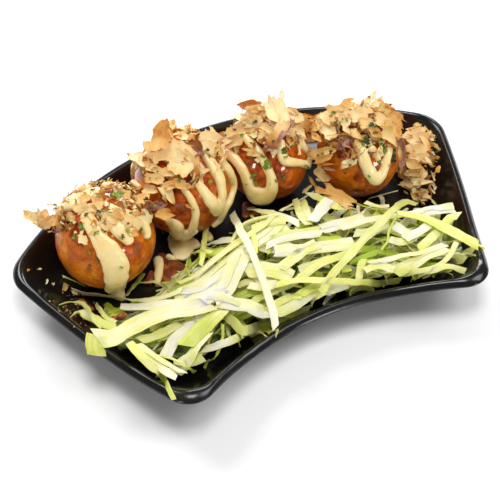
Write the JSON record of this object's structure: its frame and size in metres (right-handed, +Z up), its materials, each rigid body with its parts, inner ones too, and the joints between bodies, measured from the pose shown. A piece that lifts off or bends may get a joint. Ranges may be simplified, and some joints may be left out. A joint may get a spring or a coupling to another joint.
{
  "type": "plate of takoyaki balls with cabbage",
  "caption": "Takoyaki balls with bonito flakes, mayonnaise and brown sauce beside shredded cabbage on a fan-shaped plate.",
  "frame": {"origin": "on the table under the middle of the plate's plan", "axes": "+Z up, +X along the plate's long side to the right, +Y from the hollowed front edge to the bowed back edge"},
  "size_m": [0.2156, 0.1442, 0.0536],
  "materials": {
    "plate": "glossy black melamine",
    "batter": "browned, slightly oily fried crust",
    "flake": "dry, papery shavings",
    "cabbage": "moist satin leaf"
  },
  "bodies": {
    "root": {"plate": "plate", "ball_1": "batter", "ball_2": "batter", "ball_3": "batter", "ball_4": "batter", "flakes_1": "flake", "flakes_2": "flake", "flakes_3": "flake", "flakes_4": "flake", "flakes_side": "flake", "cabbage": "cabbage"}
  },
  "joints": []
}
